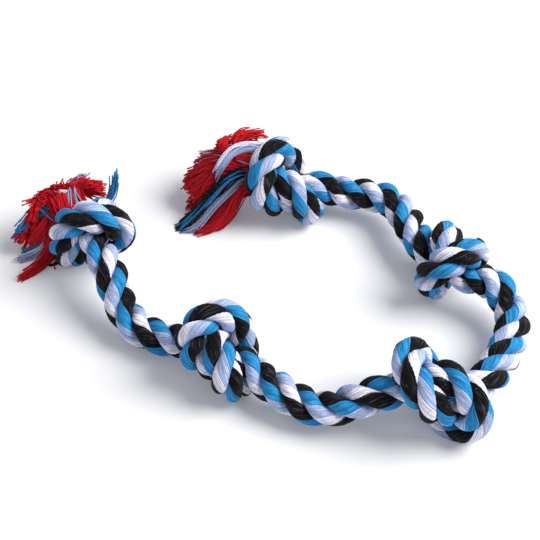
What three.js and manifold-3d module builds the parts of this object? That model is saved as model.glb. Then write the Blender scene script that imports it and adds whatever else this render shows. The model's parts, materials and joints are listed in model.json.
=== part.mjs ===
// Rope dog toy: one three-strand cotton rope with five overhand knots and a frayed tassel at each end.
// Millimetres, +Z up. It lies on its knots in an open hook shape, +X to the right, +Y away from the viewer.
// Every bend of the rope is a ball-ended seat, so each knot, half stretch and tassel is a body of its own.
import * as THREE from 'three';
import * as BufferGeometryUtils from 'three/addons/utils/BufferGeometryUtils.js';
import Module from 'manifold-3d';

const wasm = await Module();
wasm.setup();

// Rope
const ROPE_DIAMETER = 28;
const ROPE_LAY = 59; // one full turn of a strand about the rope
const STRAND_NAMES = ['strand_a', 'strand_b', 'strand_c'];
const STRAND_GAP = 1.8; // between neighbouring strands, at the rope's full diameter
const STRAND_SIDES = 6;
const STEPS_PER_LAY = 10;
const END_RINGS = 2; // rings of facets where a strand meets its rounded end
const END_STEP = 1; // least length of those facets
const CAP_REACH = 0.5; // ring of facets on the rounded end itself, as a share of the strand's radius
const COTTON_ROUGHNESS = 0.95;

// Knots: the rope is drawn thinner there, and its passes lie this far apart
const KNOT_SQUEEZE = 8.2; // off the rope's diameter
const PASS_GAP = 0.8;
const TAIL_POINTS = 3; // of the half route below, outside the knot's collar
const KNOT_TAPER = 22; // length over which the rope regains its full diameter
const FLOOR_FLAT = 2.8; // depth of the flat worn on the underside of each knot

// Half the route of an overhand knot, from its middle to its tail, in shares of the knot's pitch.
// The other half is the same route turned half a turn about Y.
const KNOT_HALF_ROUTE = [
  [0.0, 0.95, 0.0],
  [0.2, 0.85, -0.85],
  [0.65, 0.2, -1.35],
  [0.95, -0.6, -0.95],
  [0.75, -0.9, -0.1],
  [0.15, -0.5, 0.5],
  [-0.6, 0.05, 0.4],
  [-1.15, 0.2, 0.25],
];
const TAIL_OFFSET = { y: 0.2, z: 0.2 }; // of the rope where it leaves the knot, in the same shares
const TAIL_EASE = 0.3; // how much of a tail's lead its neighbouring point takes

// Each knot's place on the floor, the rope's heading through it and its roll about the rope,
// and how far from the knot's own line the rope is led where it enters and leaves
const KNOTS = [
  { name: 'knot_1', x: -148, y: 8, heading: -62, roll: 178, enter: [0, 0, 0], leave: [0, 0, 0] },
  { name: 'knot_2', x: -35, y: -116, heading: -38, roll: 2, enter: [-2, -10, -20], leave: [0, -5, -6] },
  { name: 'knot_3', x: 124, y: -159, heading: 12, roll: 316, enter: [0, 0, 0], leave: [-3, 10, 0] },
  { name: 'knot_4', x: 142, y: -24, heading: 134, roll: 330, enter: [9, 10, 0], leave: [10, 9, 0] },
  { name: 'knot_5', x: 14, y: 70, heading: 174, roll: 168, enter: [0, 0, -8], leave: [0, 0, 0] },
];
// A point that the rope passes half way between two knots, where it sags
const STRETCH_POINTS = [
  [-107, -78, 19],
  [38, -163, 20],
  [190, -78, 26],
  [102, 56, 26],
];

// Seats between bodies
const SEAT_GAP = 1.4; // between a ball end and its socket
const TASSEL_SEAT_GAP = 1.0; // between a ball end and the tufts round it
const COLLAR_CLEARANCE = 13; // from a knot's collar to the first bend of a stretch
const TASSEL_CLEARANCE = 4; // from an end knot's collar to the tassel's seat

// Tassels
const TASSEL_RINGS = 6;
const TUFT_ARC_STEPS = 3;
const TUFT_INNER_ROOT = 0.12; // a tuft's inner edge, in shares of the tassel's radius
const TUFT_INNER_TIP = 0.6;
const TIP_LENGTH = 7; // from a tuft's last ring to its tip
const TUFT_GAP = 2.8;
const FLARE = 0.8; // how early a tassel opens out: 1 is a straight cone
// Each tassel's reach along the rope, its half width and half height at the tips, and how far these sag and
// lean sideways. Its tufts lie round the rope, in degrees from the side, through the top.
const TASSELS = [
  {
    name: 'tassel_1',
    length: 15,
    spread: 40,
    rise: 27,
    droop: 5,
    sweep: 0,
    tufts: [
      { name: 'red_core_a', from: 18, to: 92 },
      { name: 'lavender_lock', from: 92, to: 130 },
      { name: 'red_core_b', from: 130, to: 174 },
      { name: 'blue_lock', from: 174, to: 214 },
      { name: 'black_lock', from: 214, to: 272 },
      { name: 'red_core_c', from: 272, to: 338 },
      { name: 'white_lock', from: 338, to: 378 },
    ],
  },
  {
    name: 'tassel_2',
    length: 52,
    spread: 36,
    rise: 24,
    droop: 18,
    sweep: 10,
    tufts: [
      { name: 'red_core_a', from: 12, to: 80 },
      { name: 'lavender_lock', from: 80, to: 118 },
      { name: 'red_core_b', from: 118, to: 172 },
      { name: 'white_lock', from: 172, to: 212 },
      { name: 'blue_lock', from: 212, to: 264 },
      { name: 'red_core_c', from: 264, to: 330 },
      { name: 'black_lock', from: 330, to: 372 },
    ],
  },
];

const COLOURS = {
  strand_a: 0x2a8fd0,
  strand_b: 0xe6e2f2,
  strand_c: 0x17171c,
  red_core_a: 0xb5121f,
  red_core_b: 0xb5121f,
  red_core_c: 0xb5121f,
  blue_lock: 0x2a8fd0,
  white_lock: 0xe6e2f2,
  lavender_lock: 0xa9b8de,
  black_lock: 0x17171c,
};

// Fineness of the measuring
const SAMPLE = 1; // spacing of the points on which the rope's line is measured
const ROUTE_SAMPLE = 0.05; // the same on a knot's route, in shares of its pitch
const CURVE_DIVISIONS = 40; // of each span of a curve whose length is measured
const WELD = 1e-4; // vertices closer than this are one

const UP = new THREE.Vector3(0, 0, 1);
const ropeRadius = ROPE_DIAMETER / 2;
const knotRadius = (ROPE_DIAMETER - KNOT_SQUEEZE) / 2;
const ballRadius = ropeRadius;
const socketRadius = ballRadius + SEAT_GAP;

function cotton(colour) {
  return new THREE.MeshStandardMaterial({ color: colour, roughness: COTTON_ROUGHNESS, metalness: 0 });
}

function smooth(share) {
  const t = Math.min(1, Math.max(0, share));
  return t * t * (3 - 2 * t);
}

function knotRoute() {
  const half = KNOT_HALF_ROUTE.map((p) => new THREE.Vector3(...p));
  const other = half.slice(1).map((p) => new THREE.Vector3(-p.x, p.y, -p.z));
  return [...half.reverse(), ...other];
}

function evenPoints(points, spacing) {
  const curve = new THREE.CatmullRomCurve3(points, false, 'centripetal');
  curve.arcLengthDivisions = points.length * CURVE_DIVISIONS;
  return curve.getSpacedPoints(Math.round(curve.getLength() / spacing));
}

// Least distance between two passes of a route: points that lie half a turn, one pitch across, apart along it
function leastPass(points) {
  const apart = Math.round(Math.PI / 2 / ROUTE_SAMPLE);
  let least = Infinity;
  for (let i = 0; i < points.length; i += 1) {
    for (let j = i + apart; j < points.length; j += 1) {
      least = Math.min(least, points[i].distanceTo(points[j]));
    }
  }
  return least;
}

// The knot's pitch puts its tightest passes PASS_GAP apart
const route = knotRoute();
const leastShare = leastPass(evenPoints(route, ROUTE_SAMPLE));
const knotPitch = (2 * knotRadius + PASS_GAP) / leastShare;
const collar = route.slice(TAIL_POINTS, -TAIL_POINTS);
const collarHalf = Math.max(...collar.map((p) => Math.abs(p.x))) * knotPitch + knotRadius;
const bendReach = collarHalf + COLLAR_CLEARANCE;
const tasselReach = collarHalf + TASSEL_CLEARANCE;

function knotPlace(knot, index) {
  const turn = new THREE.Matrix4().makeRotationZ(THREE.MathUtils.degToRad(knot.heading));
  turn.multiply(new THREE.Matrix4().makeRotationX(THREE.MathUtils.degToRad(knot.roll)));
  const inReach = index === 0 ? tasselReach : bendReach;
  const outReach = index === KNOTS.length - 1 ? tasselReach : bendReach;
  const tailY = TAIL_OFFSET.y * knotPitch;
  const tailZ = TAIL_OFFSET.z * knotPitch;
  const first = new THREE.Vector3(-inReach, tailY, tailZ);
  const last = new THREE.Vector3(outReach, tailY, -tailZ);
  const points = [first, ...route.map((p) => p.clone().multiplyScalar(knotPitch)), last];
  points.forEach((p) => p.applyMatrix4(turn));
  const lowest = Math.min(...evenPoints(points, SAMPLE).map((p) => p.z)) - knotRadius;
  const centre = new THREE.Vector3(knot.x, knot.y, -FLOOR_FLAT - lowest);
  points.forEach((p) => p.add(centre));
  const enter = new THREE.Vector3(...knot.enter);
  const leave = new THREE.Vector3(...knot.leave);
  points[0].add(enter);
  points[1].addScaledVector(enter, TAIL_EASE);
  points[points.length - 2].addScaledVector(leave, TAIL_EASE);
  points[points.length - 1].add(leave);
  return { ...knot, points, start: points[0], end: points[points.length - 1] };
}

const knots = KNOTS.map(knotPlace);

// The rope's line through every knot, with its frame carried along without twist
function ropeLine() {
  const points = [];
  knots.forEach((knot, i) => {
    points.push(...knot.points);
    if (i < STRETCH_POINTS.length) points.push(new THREE.Vector3(...STRETCH_POINTS[i]));
  });
  const beyond = (end, previous) => end.clone().sub(previous).setLength(ROPE_DIAMETER).add(end);
  const before = beyond(points[0], points[1]);
  const after = beyond(points[points.length - 1], points[points.length - 2]);
  const dense = evenPoints([before, ...points, after], SAMPLE);
  const step = dense[0].distanceTo(dense[1]);
  const tangents = dense.map((p, i) => {
    const ahead = dense[Math.min(i + 1, dense.length - 1)];
    const behind = dense[Math.max(i - 1, 0)];
    return ahead.clone().sub(behind).normalize();
  });
  const normals = [UP.clone().projectOnPlane(tangents[0]).normalize()];
  for (let i = 1; i < dense.length; i += 1) {
    normals.push(normals[i - 1].clone().projectOnPlane(tangents[i]).normalize());
  }
  return { dense, step, tangents, normals, length: step * (dense.length - 1) };
}

const line = ropeLine();

function lineAt(s) {
  const place = Math.max(s / line.step, 0);
  const i = Math.min(Math.floor(place), line.dense.length - 2);
  const share = Math.min(place - i, 1);
  const point = line.dense[i].clone().lerp(line.dense[i + 1], share);
  const tangent = line.tangents[i].clone().lerp(line.tangents[i + 1], share).normalize();
  const normal = line.normals[i].clone().lerp(line.normals[i + 1], share);
  normal.projectOnPlane(tangent).normalize();
  return { point, tangent, normal, binormal: tangent.clone().cross(normal) };
}

function nearestAlong(point) {
  let best = 0;
  line.dense.forEach((p, i) => {
    if (p.distanceTo(point) < line.dense[best].distanceTo(point)) best = i;
  });
  return best * line.step;
}

knots.forEach((knot) => {
  knot.from = nearestAlong(knot.start);
  knot.to = nearestAlong(knot.end);
});

function ropeRadiusAt(s) {
  const inKnot = knots.find((knot) => s > knot.from && s < knot.to);
  if (!inKnot) return ropeRadius;
  const inside = Math.min(s - inKnot.from, inKnot.to - s);
  return THREE.MathUtils.lerp(ropeRadius, knotRadius, smooth(inside / KNOT_TAPER));
}

// Three round strands of radius r at offset c from the rope's middle: c + r = 1 and their gap is as set
const strandGapShare = STRAND_GAP / ropeRadius;
const strandShare = (Math.sqrt(3) - strandGapShare) / (2 + Math.sqrt(3));
const offsetShare = 1 - strandShare;

// A point of a strand: reach 1 is on its surface, at one of its sides, and reach 0 is in its middle
function strandPoint(strand, s, side, reach) {
  const { point, normal, binormal } = lineAt(s);
  const radius = ropeRadiusAt(s);
  const lay = (2 * Math.PI * s) / ROPE_LAY + (2 * Math.PI * strand) / STRAND_NAMES.length;
  const angle = (2 * Math.PI * side) / STRAND_SIDES;
  const acrossNormal = Math.cos(lay) * offsetShare + Math.cos(angle) * strandShare * reach;
  const acrossBinormal = Math.sin(lay) * offsetShare + Math.sin(angle) * strandShare * reach;
  point.addScaledVector(normal, acrossNormal * radius);
  return point.addScaledVector(binormal, acrossBinormal * radius);
}

// How far along the rope a strand crosses the ball of a seat, on the side that direction gives
function seatCrossing(strand, side, reach, end) {
  let inner = end.seat.s;
  let outer = end.seat.s + end.direction * ROPE_DIAMETER;
  while (Math.abs(outer - inner) > WELD) {
    const middle = (inner + outer) / 2;
    const inside = strandPoint(strand, middle, side, reach).distanceTo(end.seat.point) < end.radius;
    if (inside) inner = middle;
    else outer = middle;
  }
  return (inner + outer) / 2;
}

// A closed surface from rings of points and two end points
function skin(rings, first, last) {
  const sides = rings[0].length;
  const points = [first, ...rings.flat(), last];
  const at = (ring, side) => 1 + ring * sides + (side % sides);
  const index = [];
  for (let side = 0; side < sides; side += 1) {
    index.push(0, at(0, side + 1), at(0, side));
    index.push(points.length - 1, at(rings.length - 1, side), at(rings.length - 1, side + 1));
    for (let ring = 0; ring + 1 < rings.length; ring += 1) {
      const a = at(ring, side);
      const b = at(ring, side + 1);
      const c = at(ring + 1, side + 1);
      const d = at(ring + 1, side);
      index.push(a, b, c, a, c, d);
    }
  }
  const coordinates = points.flatMap((p) => p.toArray());
  const geometry = new THREE.BufferGeometry();
  geometry.setAttribute('position', new THREE.Float32BufferAttribute(coordinates, 3));
  geometry.setIndex(index);
  return geometry;
}

// A strand between two seats. A ball end fills its seat, a socket end stands SEAT_GAP clear of it.
function strandGeometry(strand, from, to) {
  const sides = [...Array(STRAND_SIDES).keys()];
  const starts = sides.map((side) => seatCrossing(strand, side, 1, from));
  const ends = sides.map((side) => seatCrossing(strand, side, 1, to));
  const first = Math.max(...starts) + END_STEP;
  const last = Math.min(...ends) - END_STEP;
  const steps = Math.max(1, Math.round(((last - first) / ROPE_LAY) * STEPS_PER_LAY));
  const ring = (along) => sides.map((side) => strandPoint(strand, along(side), side, 1));
  const cap = (end) => sides.map((side) => {
    return strandPoint(strand, seatCrossing(strand, side, CAP_REACH, end), side, CAP_REACH);
  });
  const tip = (end) => strandPoint(strand, seatCrossing(strand, 0, 0, end), 0, 0);
  const rings = [cap(from)];
  for (let i = 0; i < END_RINGS; i += 1) {
    rings.push(ring((side) => THREE.MathUtils.lerp(starts[side], first, i / END_RINGS)));
  }
  for (let i = 0; i <= steps; i += 1) {
    rings.push(ring(() => THREE.MathUtils.lerp(first, last, i / steps)));
  }
  for (let i = 1; i <= END_RINGS; i += 1) {
    rings.push(ring((side) => THREE.MathUtils.lerp(last, ends[side], i / END_RINGS)));
  }
  rings.push(cap(to));
  return skin(rings, tip(from), tip(to));
}

function solid(geometry) {
  const merged = BufferGeometryUtils.mergeVertices(geometry, WELD);
  const vertProperties = new Float32Array(merged.attributes.position.array);
  const triVerts = new Uint32Array(merged.index.array);
  return new wasm.Manifold(new wasm.Mesh({ numProp: 3, vertProperties, triVerts }));
}

function geometryOf(manifold) {
  const mesh = manifold.getMesh();
  const geometry = new THREE.BufferGeometry();
  geometry.setAttribute('position', new THREE.BufferAttribute(new Float32Array(mesh.vertProperties), 3));
  geometry.setIndex(new THREE.BufferAttribute(new Uint32Array(mesh.triVerts), 1));
  return geometry;
}

// Takes off what reaches below the floor, so that the knot rests on a flat
function cutAtFloor(geometry) {
  geometry.computeBoundingBox();
  const box = geometry.boundingBox;
  if (box.min.z >= 0) return geometry;
  const size = box.getSize(new THREE.Vector3());
  const middle = box.getCenter(new THREE.Vector3());
  const below = new THREE.BoxGeometry(2 * size.x, 2 * size.y, 2 * size.z);
  below.deleteAttribute('normal');
  below.deleteAttribute('uv');
  below.translate(middle.x, middle.y, -size.z);
  return geometryOf(solid(geometry).subtract(solid(below)));
}

const toy = new THREE.Group();

function addMesh(name, geometry, colour) {
  geometry.computeVertexNormals();
  const mesh = new THREE.Mesh(geometry, cotton(colour));
  mesh.name = name;
  toy.add(mesh);
}

// Where two bodies of the rope meet, kept with the model so that its bends can be turned
const bends = [];

function seatAt(s, first, second) {
  const { point, tangent } = lineAt(s);
  if (first) bends.push({ first, second, point, tangent });
  return { s, point };
}

function addStrands(body, from, to, finish) {
  STRAND_NAMES.forEach((name, strand) => {
    addMesh(`${body}_${name}`, finish(strandGeometry(strand, from, to)), COLOURS[name]);
  });
}

function addKnots() {
  knots.forEach((knot) => {
    const from = { seat: seatAt(knot.from), radius: ballRadius, direction: -1 };
    const to = { seat: seatAt(knot.to), radius: ballRadius, direction: 1 };
    addStrands(knot.name, from, to, cutAtFloor);
  });
}

function addStretches() {
  STRETCH_POINTS.forEach((_, i) => {
    const near = `stretch_${i + 1}_near`;
    const far = `stretch_${i + 1}_far`;
    const first = seatAt(knots[i].to, knots[i].name, near);
    const last = seatAt(knots[i + 1].from, far, knots[i + 1].name);
    const middle = seatAt((first.s + last.s) / 2, near, far);
    const plain = (geometry) => geometry;
    const socketOn = (seat, direction) => ({ seat, radius: socketRadius, direction });
    addStrands(near, socketOn(first, 1), { seat: middle, radius: ballRadius, direction: 1 }, plain);
    addStrands(far, socketOn(middle, 1), socketOn(last, -1), plain);
  });
}

// A tuft is one sector of the frayed end, spreading from the socket round the rope's ball end
function tuftGeometry(tassel, tuft, seat, out) {
  const side = new THREE.Vector3().crossVectors(UP, out).normalize();
  const up = new THREE.Vector3().crossVectors(out, side);
  const gapAngle = (radius) => TUFT_GAP / 2 / radius;
  const place = (share, reach, angle) => {
    const rootRadius = reach * ropeRadius;
    const rootAxial = Math.sqrt((ballRadius + TASSEL_SEAT_GAP) ** 2 - rootRadius ** 2);
    const axial = THREE.MathUtils.lerp(rootAxial, tassel.length, share);
    const opening = share ** FLARE;
    const width = THREE.MathUtils.lerp(rootRadius, reach * tassel.spread, opening);
    const height = THREE.MathUtils.lerp(rootRadius, reach * tassel.rise, opening);
    const gap = gapAngle(Math.max(Math.min(width, height), TUFT_GAP));
    const lean = THREE.MathUtils.lerp(tuft.fromAngle + gap, tuft.toAngle - gap, angle);
    const point = seat.clone().addScaledVector(out, axial);
    point.z -= tassel.droop * share * share;
    point.addScaledVector(side, tassel.sweep * share * share);
    const rise = Math.sin(lean) * height;
    const room = Math.min(1, point.z / THREE.MathUtils.lerp(ropeRadius, tassel.rise, opening));
    point.addScaledVector(side, Math.cos(lean) * width);
    point.addScaledVector(up, rise < 0 ? rise * room : rise);
    return point;
  };
  const rings = [];
  for (let ring = 0; ring <= TASSEL_RINGS; ring += 1) {
    const share = ring / TASSEL_RINGS;
    const inner = THREE.MathUtils.lerp(TUFT_INNER_ROOT, TUFT_INNER_TIP, share);
    const points = [place(share, inner, 0.5), place(share, (1 + inner) / 2, 0)];
    for (let k = 0; k <= TUFT_ARC_STEPS; k += 1) points.push(place(share, 1, k / TUFT_ARC_STEPS));
    points.push(place(share, (1 + inner) / 2, 1));
    rings.push(points);
  }
  const sumOf = (ring) => ring.reduce((sum, p) => sum.add(p), new THREE.Vector3());
  const middleOf = (ring) => sumOf(ring).divideScalar(ring.length);
  const lastMiddle = middleOf(rings[TASSEL_RINGS]);
  const along = lastMiddle.clone().sub(middleOf(rings[TASSEL_RINGS - 1])).setLength(TIP_LENGTH);
  return skin(rings, place(0, (1 + TUFT_INNER_ROOT) / 2, 0.5), lastMiddle.add(along));
}

function addTassels() {
  const lastKnot = knots[knots.length - 1];
  const ends = [
    { tassel: TASSELS[0], knot: knots[0], s: knots[0].from, direction: -1 },
    { tassel: TASSELS[1], knot: lastKnot, s: lastKnot.to, direction: 1 },
  ];
  ends.forEach(({ tassel, knot, s, direction }) => {
    const { point } = seatAt(s, knot.name, tassel.name);
    const out = lineAt(s).tangent.multiplyScalar(direction);
    tassel.tufts.forEach((tuft) => {
      const fromAngle = THREE.MathUtils.degToRad(tuft.from);
      const toAngle = THREE.MathUtils.degToRad(tuft.to);
      const geometry = tuftGeometry(tassel, { fromAngle, toAngle }, point, out);
      addMesh(`${tassel.name}_${tuft.name}`, geometry, COLOURS[tuft.name]);
    });
  });
}

addKnots();
addStretches();
addTassels();

// The origin is the middle of the underside
const box = new THREE.Box3().setFromObject(toy);
const middle = box.getCenter(new THREE.Vector3());
toy.position.set(-middle.x, -middle.y, -box.min.z);
toy.userData.bends = bends.map((bend) => ({ ...bend, point: bend.point.clone().add(toy.position) }));

const leastGap = leastShare * knotPitch - 2 * knotRadius;
console.log(`rope length through the knots ${line.length.toFixed(0)} mm`);
console.log(`least gap between passes in a knot ${leastGap.toFixed(2)} mm`);

export default toy;
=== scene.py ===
"""Rope dog toy: a laid cotton rope with overhand knots and frayed tassels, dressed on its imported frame."""

import json
import math

import bpy
import numpy as np
from mathutils import Matrix, Vector


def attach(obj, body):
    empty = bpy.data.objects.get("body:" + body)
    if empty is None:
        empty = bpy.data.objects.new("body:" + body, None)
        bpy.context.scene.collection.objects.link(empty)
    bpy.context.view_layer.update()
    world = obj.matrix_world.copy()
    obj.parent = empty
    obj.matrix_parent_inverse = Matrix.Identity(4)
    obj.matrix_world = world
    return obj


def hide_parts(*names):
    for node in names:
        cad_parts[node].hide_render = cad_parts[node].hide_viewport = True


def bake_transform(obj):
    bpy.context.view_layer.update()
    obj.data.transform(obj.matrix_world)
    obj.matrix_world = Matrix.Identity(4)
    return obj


bl_info = {
    "name": "Rope Dog Toy",
    "version": (1, 0, 0),
    "blender": (4, 5, 0),
    "location": "3D View > Sidebar > Rope Toy",
    "description": "Dresses the frame of a knotted cotton rope toy with strands, yarns and tassels",
    "category": "Object",
}

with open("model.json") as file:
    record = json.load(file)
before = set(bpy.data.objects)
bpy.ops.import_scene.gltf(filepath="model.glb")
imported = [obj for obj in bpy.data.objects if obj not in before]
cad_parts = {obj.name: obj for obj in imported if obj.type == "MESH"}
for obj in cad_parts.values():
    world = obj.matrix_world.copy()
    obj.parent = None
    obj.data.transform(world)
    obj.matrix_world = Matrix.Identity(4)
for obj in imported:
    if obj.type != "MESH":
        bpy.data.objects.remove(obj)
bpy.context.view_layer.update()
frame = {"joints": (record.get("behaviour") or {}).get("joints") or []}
joints = {joint["name"]: joint for joint in frame["joints"]}

SEED = 7
UP = np.array((0.0, 0.0, 1.0))
TINY = 1e-9

# The rope's route, as the frame's strands follow it, in metres and degrees
STRANDS = ("a", "b", "c")
KNOT_PITCH = 0.02287
# Half an overhand knot, from its middle to a tail, in pitches: half a turn about Y gives the other half
KNOT_HALF_ROUTE = (
    (0.0, 0.95, 0.0),
    (0.2, 0.85, -0.85),
    (0.65, 0.2, -1.35),
    (0.95, -0.6, -0.95),
    (0.75, -0.9, -0.1),
    (0.15, -0.5, 0.5),
    (-0.6, 0.05, 0.4),
    (-1.15, 0.2, 0.25),
)
TAIL_OFFSET = 0.2
TAIL_EASE = 0.3
BEND_REACH = 0.04463
TASSEL_REACH = 0.03563
FRAME_KNOT_RADIUS = 0.0099
FLOOR_FLAT = 0.0028
BEYOND_END = 0.028
# A knot's place and turn, its drawn size as a share of the frame's, and the shift of its two tails
KNOTS = (
    {"x": -0.148, "y": 0.008, "heading": -62, "roll": 178, "tight": 0.98,
     "enter": (0.0, 0.0, 0.0), "leave": (0.0, 0.0, 0.0)},
    {"x": -0.035, "y": -0.116, "heading": -38, "roll": 2, "tight": 0.85,
     "enter": (-0.002, -0.010, -0.020), "leave": (0.0, -0.005, -0.006)},
    {"x": 0.124, "y": -0.159, "heading": 12, "roll": 316, "tight": 1.0,
     "enter": (0.0, 0.0, 0.0), "leave": (-0.003, 0.010, 0.0)},
    {"x": 0.142, "y": -0.024, "heading": 134, "roll": 330, "tight": 0.88,
     "enter": (0.009, 0.010, 0.0), "leave": (0.010, 0.009, 0.0)},
    {"x": 0.014, "y": 0.070, "heading": 174, "roll": 168, "tight": 0.94,
     "enter": (0.0, 0.0, -0.008), "leave": (0.0, 0.0, 0.0)},
)
STRETCH_POINTS = (
    (-0.107, -0.078, 0.019),
    (0.038, -0.163, 0.020),
    (0.190, -0.078, 0.026),
    (0.102, 0.056, 0.026),
)
# The floor point in the middle of the photograph, from which the route is measured
PHOTO_MIDDLE = Vector((0.0049686, 0.0390363, 0.0))

# The photograph's camera, and the paper and light of its stage
CAMERA_LENS = 94.2
CAMERA_SENSOR = 36.0
CAMERA_DISTANCE = 1.180
CAMERA_ELEVATION = 46.0
PAPER_SIZE = 12.0
PAPER_LIFT = 0.10
KEY_PLACE = Vector((1.29, -0.08, 1.49))
KEY_SIZE = 1.4
KEY_ENERGY = 51.0
KEY_COLOUR = "#fffdf8"
ROOM_COLOUR = "#eff3ff"
ROOM_STRENGTH = 0.44
WHITE = "#ffffff"

# A strand's section, in shares of the rope's radius, and the yarns of its cover
BANDS = ("blue", "lavender", "white", "black")
BAND_YARNS = (8, 7, 6, 11)
COVER_YARNS = sum(BAND_YARNS)
SIDES_PER_YARN = 3
SIDES = COVER_YARNS * SIDES_PER_YARN
STRAND_OFFSET = 0.54
STRAND_DEEP = 0.46
STRAND_WIDE = 0.57
# Where the bands start round each strand, in degrees
STRAND_PHASES = (315.0, 45.0, 180.0)
# How far a yarn's thickness strays, as a share of the groove between two yarns
SWELL_SHARE = 1 / 3

# Fineness, and how the rope's passes press on each other and on the floor
LINE_STEP = 0.001
SPAN_STEPS = 60
RING_STEP = 0.0025
KNOT_TAPER = 0.025
PASS_APART = 0.036
PASS_NEAR = 0.030
PASS_GAP = 0.0004
LEAST_PRESS = 0.35
FLOOR_SOFTNESS = 0.003
# How far into a knot, past its joint, a stretch's strands reach: there the knot's own pieces begin
JOINT_HALF = 0.010

# The cover's cotton, with lengths in metres. COVER_SPAN is the length of rope in one unit of V. A tone is a
# gain and an offset, by input of a Math node, and a shade or a share is the inputs of a Map Range node.
COVER_COTTON = "twisted_cotton_cover"
COVER_SPAN = 0.40
TWIST_TURN = 0.0025
EDGE_SWAY = 0.12
STREAKS_PER_YARN = 1.4
STREAK_LENGTH = 0.010
BLOTCH_SIZE = 0.009
FUZZ_SIZE = 0.0012
NEP_SPACING = 0.0045
BATCH_TONE = {1: 0.26, 2: -0.03}
FIBRE_GAIN = 1.8
PATCH_TONE = {1: 0.20, 2: 0.90}
HEATHER_TONE = {1: 0.9, 2: 0.55}
GROOVE_SHADE = {"From Min": 0.0, "From Max": 0.30, "To Min": 0.66, "To Max": 1.04}
NEP_SHARE = {"From Min": 0.05, "From Max": 0.10, "To Min": 0.22, "To Max": 0.0}
UNDYED_SHARE = {"From Min": 0.54, "From Max": 0.76, "To Min": 0.0, "To Max": 0.09}
COVER_BUMP = 0.0006

# The loose yarns' cotton. Its two plies make one turn every 5 mm or so of a 45 mm yarn.
CORE_YARN = "loose_red_cotton_yarn"
COVER_YARN = "loose_cover_cotton_yarn"
YARN_TONE = {1: 0.40, 2: 0.74}
PLY_TURNS = 9.0
# Painted shade: the yarn's colour is darkened in the grooves between its two plies
PLY_SHADE_TONE = {1: 0.10, 2: 0.94}
PLY_BUMP = 0.0003

# Tassels. A tuft is its name, slot and locks, and a lock is its dye, numbers of yarns and clumps, and ways.
# A way runs from the rope's end to a tip, in millimetres to the side, up and out. A way of one point is
# a tip alone, reached over the tassel's lift and belly. A lock's yarns lie between its ways, in clumps.
MILLIMETRE = 0.001
YARN_SIDES = 5
YARN_RINGS = 11
DYE_COLUMNS = 40
YARN_COLUMNS = len(BANDS) * DYE_COLUMNS
ROOT_RADIUS = 0.0085
ROOT_BEHIND = -9.0
LEAST_ROOT = -10.0
ROOT_SHARE = 0.3
MOST_SPREAD = 1.7
CLUMP_PACKING = 0.6
COMBED_PACKING = 1.5
COMBED_GATHER = 0.3
CLUMP_WIDTH = 0.9
CLUMP_FLARE = 0.7
PLACE_SPREAD = 0.25
SPOT_SHAPE = (0.55, 0.55, 0.25)
CURL_BEATS = (0.3, 1.1)
CURL_GROWTH = 1.5
SHORTENING = 1.5
BEND_SHARE = 0.45
TIP_OPENING = 1.25
COLUMN_MARGIN = 0.01
# A slant that few yarns lie along, from which their cross-sections are turned
SECTION_SLANT = (0.3, 0.5, 0.8)
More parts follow.
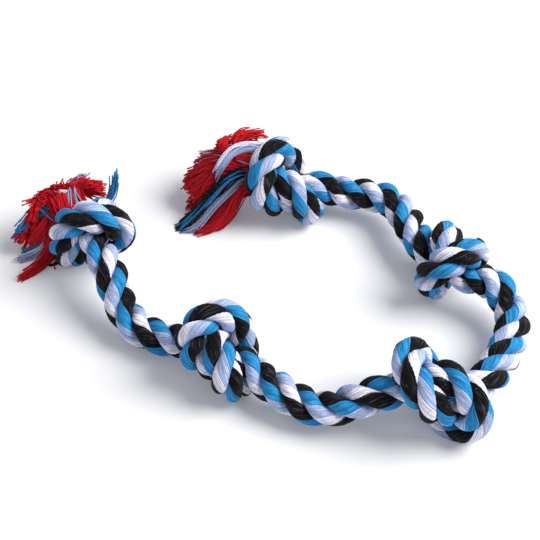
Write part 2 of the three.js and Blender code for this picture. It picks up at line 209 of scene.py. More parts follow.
TASSELS = (
    {"name": "tassel_1", "knot": "knot_1", "joint": "swing_tassel_1", "belly": 13.0, "lift": 3.0, "tufts": (
        ("red_core_a", "red_core_yarn", (
            ("red", 440, 38, (((32, -14, 0),), ((34, -2, 5),), ((28, 13, 7),), ((19, 20, 9),),
                              ((8, 22, 10),), ((-5, 22, 11),))),
            ("red", 8, 1, (((32, 16, 7),),)),
        )),
        ("lavender_lock", "lavender_yarn", (
            ("lavender", 34, 2, (((-20, 21, 15),), ((-26, 19, 13),))),
            ("white", 10, 1, (((-9, 5, 4), (-3, 13, 8), (6, 17, 9)),)),
        )),
        ("red_core_b", "red_core_yarn", (
            ("red", 360, 30, (((-10, 18, 11),), ((-20, 20, 9),), ((-28, 17, 6),), ((-34, 11, 3),),
                              ((-32, 2, 0),))),
        )),
        ("blue_lock", "blue_yarn", (
            ("blue", 22, 1, (((-29, -8, -2), (-39, -1, -1), (-43, 10, 1), (-46, 23, 3)),)),
            ("lavender", 12, 1, (((-27, -7, -1), (-37, -1, 0), (-41, 9, 2), (-43, 20, 4)),)),
        )),
        ("black_lock", "black_yarn", (
            ("black", 80, 6, (((-36, -18, 6),), ((-20, -27, 8),), ((-4, -30, 8),))),
            ("black", 10, 1, (((8, -16, -6), (14, -26, -19), (22, -30, -26), (34, -32, -23)),)),
        )),
        ("red_core_c", "red_core_yarn", (
            ("red", 70, 5, (((2, -29, 8),), ((16, -29, 6),), ((28, -27, 4),))),
            ("red", 110, 9, (((37, -27, -2),), ((43, -23, 0),), ((46, -16, 2),))),
            ("red", 130, 4, (((11, -14, -1), (20, -22, -12), (36, -28, -23), (55, -31, -28)),
                             ((9, -15, -3), (17, -24, -14), (32, -30, -26), (49, -32, -31)))),
            ("red", 1, 1, (((11, -16, -4), (20, -26, -18), (27, -30, -29), (22, -32, -38)),)),
            ("red", 80, 6, (((12, -1, 0), (21, -4, -2), (30, -11, -4), (37, -18, -5)),
                            ((11, -4, -1), (19, -9, -4), (27, -16, -8), (33, -22, -10)))),
        )),
        ("white_lock", "white_yarn", (
            ("blue", 26, 1, (((44, -9, 4),),)),
            ("blue", 28, 1, (((22, -4, 9), (35, -10, 10), (47, -18, 8)),)),
            ("white", 24, 1, (((13, -11, 1), (23, -19, -8), (37, -26, -9), (51, -30, -6)),)),
            ("lavender", 20, 1, (((13, -13, 0), (22, -21, -9), (36, -28, -11), (49, -31, -9)),)),
            ("blue", 18, 1, (((13, -10, 2), (23, -17, -6), (35, -24, -7), (46, -28, -4)),)),
        )),
    )},
    {"name": "tassel_2", "knot": "knot_5", "joint": "swing_tassel_2", "belly": 22.0, "lift": 11.0, "tufts": (
        ("red_core_a", "red_core_yarn", (
            ("red", 460, 36, (((19, -21, 37),), ((14, -18, 48),), ((6, -12, 54),), ((-3, -4, 50),))),
        )),
        ("lavender_lock", "lavender_yarn", (
            ("lavender", 18, 1, (((-15, 16, -16), (-9, 20, -2), (-1, 20, 9), (8, 13, 17), (15, 3, 22)),)),
            ("white", 10, 1, (((-16, 17, -15), (-11, 22, -1), (-4, 23, 10), (5, 17, 19), (12, 7, 25)),)),
            ("lavender", 16, 1, (((-9, -1, 42),),)),
        )),
        ("red_core_b", "red_core_yarn", (
            ("red", 240, 14, (((-8, -2, 46),), ((-14, 2, 39),), ((-19, 8, 29),), ((-22, 14, 19),),
                              ((-22, 19, 8),))),
            ("red", 170, 12, (((-7, 12, 3), (-15, 18, 5), (-22, 22, -3), (-26, 20, -18)),
                              ((-8, 11, 5), (-18, 17, 9), (-25, 20, 2), (-29, 17, -9)),
                              ((-8, 12, 6), (-17, 19, 12), (-24, 21, 9), (-28, 18, 3)))),
        )),
        ("white_lock", "white_yarn", (
            ("white", 46, 2, (((-18, -2, 45),), ((-24, -6, 41),))),
        )),
        ("blue_lock", "blue_yarn", (
            ("blue", 70, 5, (((-28, -20, 38),), ((-20, -28, 44),), ((-8, -33, 48),))),
        )),
        ("red_core_c", "red_core_yarn", (
            ("red", 400, 24, (((15, -13, 0), (26, -27, 7), (35, -36, 19), (39, -41, 34)),
                              ((12, -8, 4), (23, -22, 13), (33, -35, 27), (38, -40, 43)),
                              ((6, -10, 6), (14, -26, 19), (21, -37, 34), (26, -41, 50)),
                              ((-4, -10, 6), (-3, -26, 22), (0, -37, 40), (2, -41, 54)))),
        )),
        ("black_lock", "black_yarn", (
            ("black", 24, 1, (((10, 10, 1), (15, 7, 12), (24, -6, 27), (30, -26, 45), (35, -40, 60)),)),
            ("blue", 22, 2, (((9, 12, 2), (17, 5, 14), (22, -8, 31), (31, -25, 46), (33, -39, 61)),
                             ((11, 7, 1), (18, 4, 13), (28, -11, 26), (32, -29, 45), (40, -41, 57)))),
            ("black", 8, 1, (((11, 5, 1), (21, -2, 12), (27, -13, 28), (36, -31, 43), (38, -41, 58)),)),
            ("lavender", 26, 1, (((12, 2, 1), (21, -5, 12), (28, -20, 27), (37, -34, 40), (39, -41, 55)),)),
        )),
    )},
)


def linear(colour):
    """Linear RGB of an sRGB hex colour"""
    channels = [int(colour[i:i + 2], 16) / 255 for i in (1, 3, 5)]
    return [c / 12.92 if c <= 0.04045 else ((c + 0.055) / 1.055) ** 2.4 for c in channels]


class RopeSizes(bpy.types.PropertyGroup):
    """Sizes of the laid rope"""

    diameter: bpy.props.FloatProperty(
        name="Rope diameter", description="Thickness of the rope between its knots",
        default=0.028, unit="LENGTH")
    knot_diameter: bpy.props.FloatProperty(
        name="Diameter in knots", description="Thickness of the rope where a knot pulls it tight",
        default=0.0264, unit="LENGTH")
    lay: bpy.props.FloatProperty(
        name="Lay", description="Length of rope in which a strand makes one turn",
        default=0.059, unit="LENGTH")
    groove: bpy.props.FloatProperty(
        name="Yarn groove", description="Depth of the groove between two cover yarns",
        default=0.00035, unit="LENGTH")


class TasselSizes(bpy.types.PropertyGroup):
    """Sizes of the frayed yarns"""

    yarn_diameter: bpy.props.FloatProperty(
        name="Yarn diameter", description="Thickness of one loose yarn", default=0.00115, unit="LENGTH")
    curl: bpy.props.FloatProperty(
        name="Curl", description="How far a yarn's tip strays from its line", default=0.0018, unit="LENGTH")
    uneven: bpy.props.FloatProperty(
        name="Uneven length", description="Share by which the yarns' lengths differ",
        default=0.24, subtype="FACTOR")


class CottonColours(bpy.types.PropertyGroup):
    """Dye colours of the cotton"""

    blue: bpy.props.FloatVectorProperty(
        name="Blue", description="Blue cover yarn", subtype="COLOR", default=linear("#2689c4"))
    lavender: bpy.props.FloatVectorProperty(
        name="Lavender", description="Pale lavender-blue cover yarn", subtype="COLOR",
        default=linear("#a9b9e0"))
    white: bpy.props.FloatVectorProperty(
        name="White", description="Bleached cover yarn", subtype="COLOR", default=linear("#eae7f7"))
    black: bpy.props.FloatVectorProperty(
        name="Black", description="Black cover yarn", subtype="COLOR", default=linear("#09090d"))
    red: bpy.props.FloatVectorProperty(
        name="Red", description="Red core yarn", subtype="COLOR", default=linear("#d61828"))
    floor: bpy.props.FloatVectorProperty(
        name="Floor", description="Paper under the toy", subtype="COLOR", default=linear("#f7f7f8"))


# Materials


def add_node(tree, kind, inputs=(), **settings):
    """Adds a shader node with its settings, values and links, and returns its outputs"""
    made = tree.nodes.new("ShaderNode" + kind)
    for key, value in settings.items():
        setattr(made, key, value)
    for key, value in dict(inputs).items():
        if isinstance(value, bpy.types.NodeSocket):
            tree.links.new(value, made.inputs[key])
        else:
            made.inputs[key].default_value = value
    return made.outputs


def new_material(name):
    """An empty node material and its tree"""
    made = bpy.data.materials.new(name)
    made.use_nodes = True
    made.node_tree.nodes.clear()
    return made, made.node_tree


def dye_bands(tree, across, colours, widths):
    """Colour of a cover yarn from its band of U, one band of its own width for each dye"""
    colour = add_node(tree, "ValToRGB", {0: across})[0]
    ramp = colour.node.color_ramp
    ramp.interpolation = "CONSTANT"
    while len(ramp.elements) < len(BANDS):
        ramp.elements.new(0.5)
    for i, band in enumerate(BANDS):
        ramp.elements[i].position = sum(widths[:i]) / sum(widths)
        ramp.elements[i].color = (*getattr(colours, band), 1.0)
    return colour


def twisted_cotton_cover(colours):
    """Dyed cotton cover of a strand: matt yarns side by side, each of one colour, heathered and linty"""
    made, tree = new_material(COVER_COTTON)
    place = add_node(tree, "TexCoord")
    parts = add_node(tree, "SeparateXYZ", {0: place["UV"]})
    yarn = add_node(tree, "Math", {0: parts["X"], 1: COVER_YARNS}, operation="MULTIPLY")[0]
    length = add_node(tree, "Math", {0: parts["Y"], 1: COVER_SPAN}, operation="MULTIPLY")[0]
    # A band's edge is as uneven as the twist of its yarns
    twist = add_node(tree, "Math", {0: length, 1: 2 * math.pi / TWIST_TURN}, operation="MULTIPLY")[0]
    wave = add_node(tree, "Math", {0: twist}, operation="SINE")[0]
    sway = EDGE_SWAY / COVER_YARNS
    edge = add_node(tree, "Math", {0: wave, 1: sway, 2: parts["X"]}, operation="MULTIPLY_ADD")[0]
    colour = dye_bands(tree, edge, colours, BAND_YARNS)
    # Fibres took the dye differently: their streaks are drawn nearly as wide as a yarn, so that they show
    fine = add_node(tree, "Math", {0: yarn, 1: STREAKS_PER_YARN}, operation="MULTIPLY")[0]
    along = add_node(tree, "Math", {0: length, 1: 1 / STREAK_LENGTH}, operation="MULTIPLY")[0]
    fibre_at = add_node(tree, "CombineXYZ", {"X": fine, "Y": along})[0]
    fibre = add_node(tree, "TexNoise", {"Vector": fibre_at, "Scale": 1.0, "Detail": 2.0})["Fac"]
    blotch_at = {"Vector": place["Object"], "Scale": 1 / BLOTCH_SIZE, "Detail": 3.0}
    blotch = add_node(tree, "TexNoise", blotch_at)["Fac"]
    which = add_node(tree, "Math", {0: yarn}, operation="FLOOR")[0]
    batch = add_node(tree, "TexWhiteNoise", {"W": which}, noise_dimensions="1D")["Value"]
    base = add_node(tree, "Math", {0: batch, **BATCH_TONE}, operation="MULTIPLY_ADD")[0]
    tone = add_node(tree, "Math", {0: fibre, 1: FIBRE_GAIN, 2: base}, operation="MULTIPLY_ADD")[0]
    patch = add_node(tree, "Math", {0: blotch, **PATCH_TONE}, operation="MULTIPLY_ADD")[0]
    # Cotton fuzz gives a fine heather, drawn as coarse as it needs to show
    fuzz_at = {"Vector": place["Object"], "Scale": 1 / FUZZ_SIZE, "Detail": 2.0}
    fuzz = add_node(tree, "TexNoise", fuzz_at)["Fac"]
    heather = add_node(tree, "Math", {0: fuzz, **HEATHER_TONE}, operation="MULTIPLY_ADD")[0]
    mottled = add_node(tree, "Math", {0: tone, 1: heather}, operation="MULTIPLY")[0]
    shade = add_node(tree, "Math", {0: mottled, 1: patch}, operation="MULTIPLY")[0]
    # The groove between two yarns lies in shade
    middle = add_node(tree, "Math", {0: yarn, 1: 0.5}, operation="PINGPONG")[0]
    groove = add_node(tree, "MapRange", {0: middle, **GROOVE_SHADE})[0]
    lined = add_node(tree, "Math", {0: shade, 1: groove}, operation="MULTIPLY")[0]
    # The dye with its random tones and the painted groove shade, in one colour
    dyed_and_shaded = add_node(tree, "Mix", {0: 1.0, 6: colour, 7: lined}, data_type="RGBA", blend_type="MULTIPLY")[2]
    # Undyed fibres and neps of lint, half a millimetre across
    specks = add_node(tree, "TexVoronoi", {"Vector": place["Object"], "Scale": 1 / NEP_SPACING})["Distance"]
    nep = add_node(tree, "MapRange", {0: specks, **NEP_SHARE})[0]
    undyed = add_node(tree, "MapRange", {0: fibre, **UNDYED_SHARE})[0]
    lint = add_node(tree, "Math", {0: nep, 1: undyed}, operation="MAXIMUM")[0]
    linted = add_node(tree, "Mix", {0: lint, 6: dyed_and_shaded, 7: (*colours.white, 1.0)}, data_type="RGBA")[2]
    pile = add_node(tree, "Math", {0: fibre, 1: fuzz}, operation="ADD")[0]
    bump = add_node(tree, "Bump", {"Height": pile, "Strength": 0.5, "Distance": COVER_BUMP})["Normal"]
    cloth = add_node(tree, "BsdfPrincipled", {
        "Base Color": linted, "Roughness": 0.95, "Specular IOR Level": 0.15, "Sheen Weight": 0.04,
        "Sheen Roughness": 0.6, "Normal": bump})[0]
    add_node(tree, "OutputMaterial", {"Surface": cloth})
    return made


def loose_cotton_yarn(name, colours):
    """Loose cotton yarn, plied from two threads: matt, with slanting grooves along it, bumped and darkened
    by painted shade
    """
    made, tree = new_material(name)
    parts = add_node(tree, "SeparateXYZ", {0: add_node(tree, "TexCoord")["UV"]})
    column = add_node(tree, "Math", {0: parts["X"], 1: YARN_COLUMNS}, operation="MULTIPLY")[0]
    which = add_node(tree, "Math", {0: column}, operation="FLOOR")[0]
    dye = add_node(tree, "TexWhiteNoise", {"W": which}, noise_dimensions="1D")["Value"]
    tone = add_node(tree, "Math", {0: dye, **YARN_TONE}, operation="MULTIPLY_ADD")[0]
    # Each of the two plies leaves a groove, bumped and painted darker as shade, and both wind round the yarn
    turn = add_node(tree, "Math", {0: parts["Y"], 1: PLY_TURNS, 2: column}, operation="MULTIPLY_ADD")[0]
    phase = add_node(tree, "Math", {0: turn, 1: 4 * math.pi}, operation="MULTIPLY")[0]
    ply = add_node(tree, "Math", {0: phase}, operation="SINE")[0]
    groove = add_node(tree, "Math", {0: ply, **PLY_SHADE_TONE}, operation="MULTIPLY_ADD")[0]
    shade = add_node(tree, "Math", {0: tone, 1: groove}, operation="MULTIPLY")[0]
    if name == CORE_YARN:
        colour = (*colours.red, 1.0)
    else:
        colour = dye_bands(tree, parts["X"], colours, [DYE_COLUMNS] * len(BANDS))
    # The dye, its random tone for each yarn and the painted ply shade, in one colour
    dyed_and_shaded = add_node(tree, "Mix", {0: 1.0, 6: colour, 7: shade}, data_type="RGBA", blend_type="MULTIPLY")[2]
    bump = add_node(tree, "Bump", {"Height": ply, "Strength": 0.5, "Distance": PLY_BUMP})["Normal"]
    cloth = add_node(tree, "BsdfPrincipled", {
        "Base Color": dyed_and_shaded, "Roughness": 0.92, "Specular IOR Level": 0.15, "Sheen Weight": 0.06,
        "Sheen Roughness": 0.5, "Normal": bump})[0]
    add_node(tree, "OutputMaterial", {"Surface": cloth})
    return made


def white_paper(colour):
    """White studio paper: the camera sees it lifted towards white, and it keeps the toy's shadow"""
    made, tree = new_material("white_paper")
    matt = add_node(tree, "BsdfDiffuse", {"Color": (*colour, 1.0), "Roughness": 1.0})[0]
    glow = add_node(tree, "Emission", {"Color": (*linear(WHITE), 1.0), "Strength": 1.0})[0]
    rays = add_node(tree, "LightPath")
    lift = add_node(tree, "Math", {0: rays["Is Camera Ray"], 1: PAPER_LIFT}, operation="MULTIPLY")[0]
    both = add_node(tree, "MixShader", {0: lift, 1: matt, 2: glow})[0]
    add_node(tree, "OutputMaterial", {"Surface": both})
    return made


# The rope's line


def smoothstep(share):
    t = np.clip(share, 0.0, 1.0)
    return t * t * (3 - 2 * t)


def smooth_curve(points, step):
    """Evenly spaced points of a centripetal Catmull-Rom curve"""
    p = np.concatenate([[2 * points[0] - points[1]], points, [2 * points[-1] - points[-2]]])
    t = np.linspace(0, 1, SPAN_STEPS, endpoint=False)[:, None]
    spans = []
    for p0, p1, p2, p3 in zip(p, p[1:], p[2:], p[3:]):
        d0, d1, d2 = (math.sqrt(np.linalg.norm(b - a)) for a, b in ((p0, p1), (p1, p2), (p2, p3)))
        m1 = ((p1 - p0) / d0 - (p2 - p0) / (d0 + d1) + (p2 - p1) / d1) * d1
        m2 = ((p2 - p1) / d1 - (p3 - p1) / (d1 + d2) + (p3 - p2) / d2) * d1
        square = 3 * (p2 - p1) - 2 * m1 - m2
        cube = 2 * (p1 - p2) + m1 + m2
        spans.append(p1 + m1 * t + square * t ** 2 + cube * t ** 3)
    dense = np.concatenate([*spans, points[-1:]])
    run = np.concatenate([[0], np.cumsum(np.linalg.norm(np.diff(dense, axis=0), axis=1))])
    even = np.linspace(0, run[-1], round(run[-1] / step) + 1)
    return np.stack([np.interp(even, run, dense[:, k]) for k in range(3)], 1)


def knot_points(index, drawn):
    """Route points of one knot on the floor, from tail to tail: as it is drawn, or as the frame has it"""
    knot = KNOTS[index]
    half = np.array(KNOT_HALF_ROUTE)
    pitch = KNOT_PITCH * (knot["tight"] if drawn else 1.0)
    core = np.concatenate([half[::-1], half[1:] * (-1, 1, -1)]) * pitch
    tail = TAIL_OFFSET * KNOT_PITCH
    reach_in = TASSEL_REACH if index == 0 else BEND_REACH
    reach_out = TASSEL_REACH if index == len(KNOTS) - 1 else BEND_REACH
    points = np.concatenate([[(-reach_in, tail, tail)], core, [(reach_out, tail, -tail)]])
    turn = Matrix.Rotation(math.radians(knot["heading"]), 3, "Z")
    turn = turn @ Matrix.Rotation(math.radians(knot["roll"]), 3, "X")
    points = points @ np.array(turn).T
    lowest = smooth_curve(points, LINE_STEP)[:, 2].min() - FRAME_KNOT_RADIUS
    points += (knot["x"], knot["y"], -FLOOR_FLAT - lowest)
    points[:2] += np.outer((1.0, TAIL_EASE), knot["enter"])
    points[-2:] += np.outer((TAIL_EASE, 1.0), knot["leave"])
    return points


class RopeLine:
    """The rope's middle line through every knot, with a frame carried along it without twist"""

    def __init__(self, sizes):
        self.points = self.route(drawn=True)
        self.run = self.even_run(self.points)
        self.tangents = np.gradient(self.points, axis=0)
        self.tangents /= np.linalg.norm(self.tangents, axis=1)[:, None]
        self.normals = self.carried_normals()
        self.radii = self.rope_radii(sizes)
        self.turns = self.strand_turns(sizes)

    def route(self, drawn):
        """Evenly spaced points of the whole rope: as it is drawn, or as the frame has it"""
        points = []
        for i in range(len(KNOTS)):
            points.extend(knot_points(i, drawn))
            if i < len(STRETCH_POINTS):
                points.append(np.array(STRETCH_POINTS[i]))
        before = points[0] + self.beyond(points[0], points[1])
        after = points[-1] + self.beyond(points[-1], points[-2])
        return smooth_curve(np.array([before, *points, after]) + np.array(PHOTO_MIDDLE), LINE_STEP)

    @staticmethod
    def even_run(points):
        """Stations of evenly spaced points"""
        step = float(np.linalg.norm(np.diff(points, axis=0), axis=1).mean())
        return np.arange(len(points)) * step

    def strand_turns(self, sizes):
        """Turns of the strands about the rope: at each joint as many as the frame's strands have made"""
        points = self.route(drawn=False)
        run = self.even_run(points)
        places = [np.array(joint["pos_m"]) for joint in joints.values()]
        frame_at = sorted(run[np.linalg.norm(points - at, axis=1).argmin()] for at in places)
        drawn_at = sorted(self.station(joint) for joint in joints)
        frame_at = [0.0, *frame_at, run[-1]]
        drawn_at = [0.0, *drawn_at, self.run[-1]]
        return np.interp(self.run, drawn_at, frame_at) / sizes.lay

    @staticmethod
    def beyond(end, previous):
        return (end - previous) / np.linalg.norm(end - previous) * BEYOND_END

    def carried_normals(self):
        normals = np.zeros_like(self.points)
        last = UP
        for i, tangent in enumerate(self.tangents):
            last = last - tangent * (last @ tangent)
            last /= np.linalg.norm(last)
            normals[i] = last
        return normals

    def station(self, joint):
        """How far along the rope a joint of the frame lies"""
        gaps = np.linalg.norm(self.points - np.array(joints[joint]["pos_m"]), axis=1)
        return float(self.run[gaps.argmin()])

    def rope_radii(self, sizes):
        tight = np.zeros(len(self.run))
        for first, last in self.knot_spans():
            inside = np.minimum(self.run - first, last - self.run)
            tight = np.maximum(tight, smoothstep(inside / KNOT_TAPER))
        return (sizes.diameter + (sizes.knot_diameter - sizes.diameter) * tight) / 2

    def knot_spans(self):
        """First and last station of each knot: its joints"""
        names = [f"bend_knot_{i + 1}_in" for i in range(len(KNOTS))]
        names[0] = TASSELS[0]["joint"]
        outs = [f"bend_knot_{i + 1}_out" for i in range(len(KNOTS))]
        outs[-1] = TASSELS[1]["joint"]
        return [(self.station(a), self.station(b)) for a, b in zip(names, outs)]

    def at(self, stations, values):
        """Values of the line at stations along it"""
        if values.ndim == 1:
            return np.interp(stations, self.run, values)
        return np.stack([np.interp(stations, self.run, values[:, k]) for k in range(3)], 1)


# Strands


def floored(points):
    """Points softly pressed up by the floor, so that none lies below it"""
    z = points[..., 2]
    points[..., 2] = (z + np.sqrt(z * z + FLOOR_SOFTNESS ** 2)) / 2
    return points


def pressed(rings, stations, line):
    """Rings pressed flat where another pass of the rope lies against them in a knot"""
    centres = line.at(stations, line.points)
    for i, station in enumerate(stations):
        away = np.linalg.norm(line.points - centres[i], axis=1)
        others = line.points[(abs(line.run - station) > PASS_APART) & (away < PASS_NEAR)]
        if not len(others):
            continue
        towards = others - centres[i]
        gaps = np.linalg.norm(towards, axis=1)
        along = np.maximum((rings[i] - centres[i]) @ towards.T, TINY)
        share = (gaps * (gaps - PASS_GAP) / 2 / along).min(1)
        rings[i] = centres[i] + (rings[i] - centres[i]) * np.clip(share, LEAST_PRESS, 1.0)[:, None]
    return rings


def strand_rings(line, sizes, strand, first, last, dice):
    """Rings of a strand between two stations: each point of a ring stays on one yarn of the cover"""
    stations = np.linspace(first, last, max(2, round((last - first) / RING_STEP) + 1))
    centres = line.at(stations, line.points)
    tangents = line.at(stations, line.tangents)
    normals = line.at(stations, line.normals)
    normals /= np.linalg.norm(normals, axis=1)[:, None]
    binormals = np.cross(tangents, normals)
    radii = line.at(stations, line.radii)[:, None]
    lay = 2 * math.pi * (line.at(stations, line.turns) + strand / len(STRANDS))
    yarn_angle = 2 * math.pi * np.arange(SIDES) / SIDES
    section = yarn_angle[None] - 2 * lay[:, None] - math.radians(STRAND_PHASES[strand])
    groove = np.where(np.arange(SIDES) % SIDES_PER_YARN == 0, -sizes.groove, 0.0)
    swell = np.repeat(dice.normal(0, sizes.groove * SWELL_SHARE, COVER_YARNS), SIDES_PER_YARN)
    deep = STRAND_DEEP * radii + groove + swell
    wide = STRAND_WIDE * radii + groove + swell
    outward = STRAND_OFFSET * radii + deep * np.cos(section)
    across = wide * np.sin(section)
    radial = normals * np.cos(lay)[:, None] + binormals * np.sin(lay)[:, None]
    sideways = binormals * np.cos(lay)[:, None] - normals * np.sin(lay)[:, None]
    rings = centres[:, None] + radial[:, None] * outward[..., None] + sideways[:, None] * across[..., None]
    path = centres + radial * (STRAND_OFFSET * radii)
    return floored(pressed(rings, stations, line)), floored(path)


def strand_object(name, rings, length, material):
    """A closed tube through rings, with its cover yarns along V"""
    count, sides = rings.shape[:2]
    i, j = np.meshgrid(np.arange(count - 1), np.arange(sides), indexing="ij")
    after = (j + 1) % sides
    quads = np.stack([i * sides + j, i * sides + after, (i + 1) * sides + after, (i + 1) * sides + j], -1)
    points = np.concatenate([rings.reshape(-1, 3), rings[:1].mean(1), rings[-1:].mean(1)])
    low, high = count * sides, count * sides + 1
    side = np.arange(sides)
    turn = (side + 1) % sides
    start_cap = np.stack([np.full(sides, low), turn, side], -1)
    base = (count - 1) * sides
    end_cap = np.stack([np.full(sides, high), base + side, base + turn], -1)
    faces = quads.reshape(-1, 4).tolist() + start_cap.tolist() + end_cap.tolist()
    mesh = bpy.data.meshes.new(name)
    mesh.from_pydata(points.tolist(), [], faces)
    u = np.stack([j, j + 1, j + 1, j], -1) / sides
    span = length / COVER_SPAN
    v = np.stack([i, i, i + 1, i + 1], -1) / (count - 1) * span
    cap_u = np.stack([side + 0.5, side + 1, side], -1) / sides
    end_u = np.stack([side + 0.5, side, side + 1], -1) / sides
    flat_u = np.concatenate([u.ravel(), cap_u.ravel(), end_u.ravel()])
    flat_v = np.concatenate([v.ravel(), np.zeros(3 * sides), np.full(3 * sides, span)])
    mesh.uv_layers.new(name="UVMap").data.foreach_set("uv", np.stack([flat_u, flat_v], -1).ravel())
    mesh.materials.append(material)
    mesh.shade_smooth()
    # The cut ends keep their own shading, so that a strand runs on into the next piece without a line
    ends = np.zeros(len(points), bool)
    ends[:sides] = True
    ends[base:low] = True
    pairs = np.zeros(2 * len(mesh.edges), int)
    mesh.edges.foreach_get("vertices", pairs)
    rim = ends[pairs.reshape(-1, 2)].all(1)
    mesh.attributes.new("sharp_edge", "BOOLEAN", "EDGE").data.foreach_set("value", rim)
    made = bpy.data.objects.new(name, mesh)
    bpy.context.collection.objects.link(made)
    return made


def cover_material(context):
    """The strands' shared material, made once"""
    found = bpy.data.materials.get(COVER_COTTON)
    return found or twisted_cotton_cover(context.scene.toy_colours)


class TOY_OT_knots(bpy.types.Operator):
    """Lay the three strands through every knot"""

    bl_idname = "toy.knots"
    bl_label = "Knots"

    def execute(self, context):
        sizes = context.scene.toy_rope
        line = RopeLine(sizes)
        material = cover_material(context)
        for index, (first, last) in enumerate(line.knot_spans()):
            knot = f"knot_{index + 1}"
            start = first if index == 0 else first + JOINT_HALF
            end = last if index == len(KNOTS) - 1 else last - JOINT_HALF
            for strand, letter in enumerate(STRANDS):
                dice = np.random.default_rng([SEED, strand])
                rings, path = strand_rings(line, sizes, strand, start, end, dice)
                piece = strand_object(f"rope_{knot}_strand_{letter}", rings, end - start, material)
                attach(piece, knot)
                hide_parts(f"{knot}_strand_{letter}")
        return {"FINISHED"}


class TOY_OT_stretches(bpy.types.Operator):
    """Lay the three strands from knot to knot, in three pieces for each stretch"""

    bl_idname = "toy.stretches"
    bl_label = "Stretches"

    def execute(self, context):
        sizes = context.scene.toy_rope
        line = RopeLine(sizes)
        material = cover_material(context)
        spans = line.knot_spans()
        for index in range(len(STRETCH_POINTS)):
            name = f"stretch_{index + 1}"
            knot, next_knot = f"knot_{index + 1}", f"knot_{index + 2}"
            near, far = name + "_near", name + "_far"
            leave, arrive = spans[index][1], spans[index + 1][0]
            middle = line.station("bend_" + name)
            near_cut, far_cut = (leave + middle) / 2, (middle + arrive) / 2
            parts = (
                ("near", leave - JOINT_HALF, leave, near_cut, knot, near, [near]),
                ("middle", near_cut, middle, far_cut, near, far, []),
                ("far", far_cut, arrive, arrive + JOINT_HALF, far, next_knot, [far]),
            )
            for part, first, pivot, last, body_a, body_b, stands_for in parts:
                for strand, letter in enumerate(STRANDS):
                    dice = np.random.default_rng([SEED, strand])
                    rings, _ = strand_rings(line, sizes, strand, first, last, dice)
                    label = f"rope_{index + 1}_{part}_strand_{letter}"
                    piece = strand_object(label, rings, last - first, material)
                    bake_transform(piece)
                    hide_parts(*(f"{node}_strand_{letter}" for node in stands_for))
        return {"FINISHED"}


# Tassels


def yarn_master():
    """One straight yarn of unit radius and length: its points and faces"""
    bpy.ops.object.select_all(action="DESELECT")
    bpy.ops.mesh.primitive_circle_add(vertices=YARN_SIDES, radius=1.0, fill_type="NGON")
    made = bpy.context.object
    bpy.ops.object.mode_set(mode="EDIT")
    bpy.ops.mesh.select_all(action="SELECT")
    for _ in range(YARN_RINGS):
        bpy.ops.mesh.extrude_region_move(TRANSFORM_OT_translate={"value": (0, 0, 1 / YARN_RINGS)})
    # The cut end of a yarn opens a little
    bpy.ops.transform.resize(value=(TIP_OPENING, TIP_OPENING, 1.0))
    bpy.ops.mesh.select_all(action="SELECT")
    bpy.ops.mesh.normals_make_consistent(inside=False)
    bpy.ops.object.mode_set(mode="OBJECT")
    points = np.array([v.co for v in made.data.vertices])
    # Extrude numbers its corners differently from run to run, so they are numbered by ring and angle
    angles = np.arctan2(points[:, 1], points[:, 0])
    order = np.lexsort((angles, np.round(points[:, 2] * YARN_RINGS)))
    number = np.argsort(order)
    faces = [number[list(face.vertices)] for face in made.data.polygons]
    faces = sorted(np.roll(face, -face.argmin()).tolist() for face in faces)
    bpy.data.meshes.remove(made.data)
    return points[order], faces


def way_line(way, tassel):
    """A way from the rope's end to its tip, evenly sampled: to the side, up and out, in metres"""
    points = np.array(way, float)
    if len(points) == 1:
        bend = points[0] * (BEND_SHARE, BEND_SHARE, 0.0) + (0.0, tassel["lift"], tassel["belly"])
        points = np.array([bend, points[0]])
    if points[0, 2] > LEAST_ROOT:
        root = points[0] * (ROOT_SHARE, ROOT_SHARE, 0.0) + (0.0, 0.0, ROOT_BEHIND)
        points = np.concatenate([[root], points])
    points *= MILLIMETRE
    line = smooth_curve(points, LINE_STEP)
    share = np.linspace(0, 1, len(line))
    ring = np.linspace(0, 1, YARN_RINGS + 1)
    return np.stack([np.interp(ring, share, line[:, k]) for k in range(3)], 1)


def lock_lines(lock, tassel, sizes, dice):
    """Middle lines of a lock's yarns: between its ways, drawn together in clumps, each with its curl"""
    dye, count, clumps, ways = lock
    guides = np.array([way_line(way, tassel) for way in ways])
    places = np.sort(dice.random(clumps)) if clumps > 1 else np.array([0.5])
    place = dice.choice(places, count) + dice.normal(0, PLACE_SPREAD / clumps, count)
    place = np.clip(place, 0, 1) * (len(guides) - 1)
    first = np.clip(place.astype(int), 0, max(len(guides) - 2, 0))
    after = np.minimum(first + 1, len(guides) - 1)
    mix = (place - first)[:, None, None]
    lines = guides[first] * (1 - mix) + guides[after] * mix
    share = np.linspace(0, 1, YARN_RINGS + 1)[None, :, None]
    spot = np.clip(dice.normal(0, 1, (count, 1, 3)), -MOST_SPREAD, MOST_SPREAD) * SPOT_SHAPE
    combed = len(ways[0]) > 1 and dye in BANDS
    packing = COMBED_PACKING if combed else CLUMP_PACKING
    gather = COMBED_GATHER if combed else 1.0
    packed = sizes.yarn_diameter / 2 * math.sqrt(count / clumps / packing)
    width = gather * ROOT_RADIUS * (1 - share) ** 2 + packed * (CLUMP_WIDTH + CLUMP_FLARE * share ** 2)
    wave = dice.uniform(0, 2 * math.pi, (count, 1, 3))
    beat = dice.uniform(*CURL_BEATS, (count, 1, 3)) * 2 * math.pi
    stray = gather * sizes.curl * share ** CURL_GROWTH * np.sin(beat * share + wave)
    lines = lines + spot * width + stray
    # A shorter yarn ends earlier on its line
    reach = 1 - sizes.uneven * dice.random(count) ** SHORTENING
    ring = np.arange(YARN_RINGS + 1)
    for i in range(count):
        for k in range(3):
            lines[i, :, k] = np.interp(ring * reach[i], ring, lines[i, :, k])
    return lines


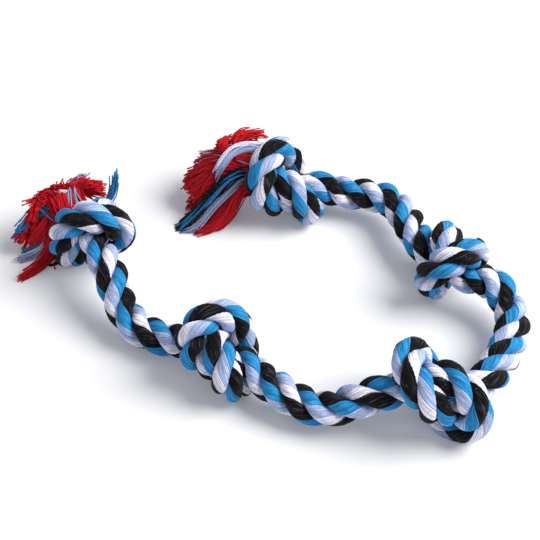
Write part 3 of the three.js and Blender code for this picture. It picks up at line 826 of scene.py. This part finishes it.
def tuft_object(name, lines, columns, radius, master, material):
    """One mesh of all the yarns of a tuft, each a copy of the master yarn bent along its line"""
    points, faces = master
    count = len(lines)
    ring = np.round(points[:, 2] * YARN_RINGS).astype(int)
    tangents = np.gradient(lines, axis=1)
    tangents /= np.linalg.norm(tangents, axis=2)[..., None]
    normals = np.cross(tangents, SECTION_SLANT)
    normals /= np.linalg.norm(normals, axis=2)[..., None]
    binormals = np.cross(tangents, normals)
    placed = lines[:, ring] + radius * (
        normals[:, ring] * points[:, 0, None] + binormals[:, ring] * points[:, 1, None])
    placed = floored(placed)
    around = (np.arctan2(points[:, 1], points[:, 0]) / (2 * math.pi)) % 1.0
    mesh = bpy.data.meshes.new(name)
    every = [[k * len(points) + v for v in face] for k in range(count) for face in faces]
    mesh.from_pydata(placed.reshape(-1, 3).tolist(), [], every)
    corner_u, corner_v = [], []
    for face in faces:
        u = around[face]
        if len(face) == 4 and u.max() - u.min() > 0.5:
            u = np.where(u < 0.5, u + 1, u)
        corner_u.extend(u)
        corner_v.extend(points[face, 2])
    inside = np.clip(np.array(corner_u), COLUMN_MARGIN, 1 - COLUMN_MARGIN)
    u = (np.array(columns)[:, None] + inside[None]) / YARN_COLUMNS
    v = np.repeat(np.array(corner_v)[None], count, 0)
    mesh.uv_layers.new(name="UVMap").data.foreach_set("uv", np.stack([u, v], -1).ravel())
    mesh.materials.append(material)
    mesh.shade_smooth()
    made = bpy.data.objects.new(name, mesh)
    bpy.context.collection.objects.link(made)
    return made


class TOY_OT_tassels(bpy.types.Operator):
    """Fray both rope ends into tufts of loose yarn"""

    bl_idname = "toy.tassels"
    bl_label = "Tassels"

    def execute(self, context):
        sizes = context.scene.toy_tassel
        colours = context.scene.toy_colours
        line = RopeLine(context.scene.toy_rope)
        master = yarn_master()
        core = loose_cotton_yarn(CORE_YARN, colours)
        cover = loose_cotton_yarn(COVER_YARN, colours)
        for end, tassel in enumerate(TASSELS):
            station = line.station(tassel["joint"])
            pivot = line.at([station], line.points)[0]
            out = line.at([station], line.tangents)[0] * (-1 if end == 0 else 1)
            side = np.cross(UP, out)
            side /= np.linalg.norm(side)
            axes = np.array([side, np.cross(out, side), out])
            for number, (name, slot, locks) in enumerate(tassel["tufts"]):
                dice = np.random.default_rng([SEED, end, number])
                lines, columns = [], []
                for lock in locks:
                    dye, count = lock[:2]
                    first = BANDS.index(dye) * DYE_COLUMNS if dye in BANDS else 0
                    room = DYE_COLUMNS if dye in BANDS else YARN_COLUMNS
                    lines.append(pivot + lock_lines(lock, tassel, sizes, dice) @ axes)
                    columns.extend(first + np.arange(count) % room)
                material = core if slot == "red_core_yarn" else cover
                piece = tuft_object(f"{tassel['name']}_{name}_yarns", np.concatenate(lines), columns,
                                    sizes.yarn_diameter / 2, master, material)
                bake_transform(piece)
                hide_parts(f"{tassel['name']}_{name}")
        return {"FINISHED"}


# Stage


class TOY_OT_stage(bpy.types.Operator):
    """Set the paper, the soft light and the photograph's camera"""

    bl_idname = "toy.stage"
    bl_label = "Stage"

    def execute(self, context):
        scene = context.scene
        scene.view_settings.view_transform = "Standard"
        bpy.ops.object.select_all(action="DESELECT")
        bpy.ops.mesh.primitive_plane_add(size=PAPER_SIZE, location=(0, 0, 0))
        paper = context.object
        paper.name = "paper"
        paper.data.materials.append(white_paper(scene.toy_colours.floor))

        lift = math.radians(CAMERA_ELEVATION)
        bpy.ops.object.camera_add(rotation=(math.pi / 2 - lift, 0, 0))
        camera = context.object
        camera.location = PHOTO_MIDDLE + CAMERA_DISTANCE * Vector((0, -math.cos(lift), math.sin(lift)))
        camera.data.lens = CAMERA_LENS
        camera.data.sensor_width = CAMERA_SENSOR
        scene.camera = camera

        bpy.ops.object.light_add(type="AREA", location=PHOTO_MIDDLE + KEY_PLACE)
        key = context.object
        key.name = "key_light"
        key.data.shape = "DISK"
        key.data.size = KEY_SIZE
        key.data.energy = KEY_ENERGY
        key.data.color = linear(KEY_COLOUR)
        key.rotation_euler = (PHOTO_MIDDLE - key.location).to_track_quat("-Z", "Y").to_euler()

        world = bpy.data.worlds.new("studio")
        world.use_nodes = True
        scene.world = world
        tree = world.node_tree
        tree.nodes.clear()
        rays = add_node(tree, "LightPath")
        soft = {"Color": (*linear(ROOM_COLOUR), 1.0), "Strength": ROOM_STRENGTH}
        room = add_node(tree, "Background", soft)[0]
        white = add_node(tree, "Background", {"Color": (*linear(WHITE), 1.0), "Strength": 1.0})[0]
        both = add_node(tree, "MixShader", {0: rays["Is Camera Ray"], 1: room, 2: white})[0]
        add_node(tree, "OutputWorld", {"Surface": both})
        return {"FINISHED"}


class TOY_PT_panel(bpy.types.Panel):
    """Sizes, colours and steps of the rope toy"""

    bl_idname = "TOY_PT_panel"
    bl_label = "Rope Toy"
    bl_space_type = "VIEW_3D"
    bl_region_type = "UI"
    bl_category = "Rope Toy"

    def draw(self, context):
        for group in (context.scene.toy_rope, context.scene.toy_tassel, context.scene.toy_colours):
            for name in group.__annotations__:
                self.layout.prop(group, name)
        for operator in STEPS:
            self.layout.operator(operator.bl_idname)


GROUPS = {"toy_rope": RopeSizes, "toy_tassel": TasselSizes, "toy_colours": CottonColours}
STEPS = (TOY_OT_stage, TOY_OT_knots, TOY_OT_stretches, TOY_OT_tassels)


def register():
    for made in (*GROUPS.values(), *STEPS, TOY_PT_panel):
        bpy.utils.register_class(made)
    for name, group in GROUPS.items():
        setattr(bpy.types.Scene, name, bpy.props.PointerProperty(type=group))


def unregister():
    for name in GROUPS:
        delattr(bpy.types.Scene, name)
    for made in (TOY_PT_panel, *reversed(STEPS), *GROUPS.values()):
        bpy.utils.unregister_class(made)


def main():
    register()
    bpy.ops.toy.stage()
    bpy.ops.toy.knots()
    bpy.ops.toy.stretches()
    bpy.ops.toy.tassels()


if __name__ == "__main__":
    main()
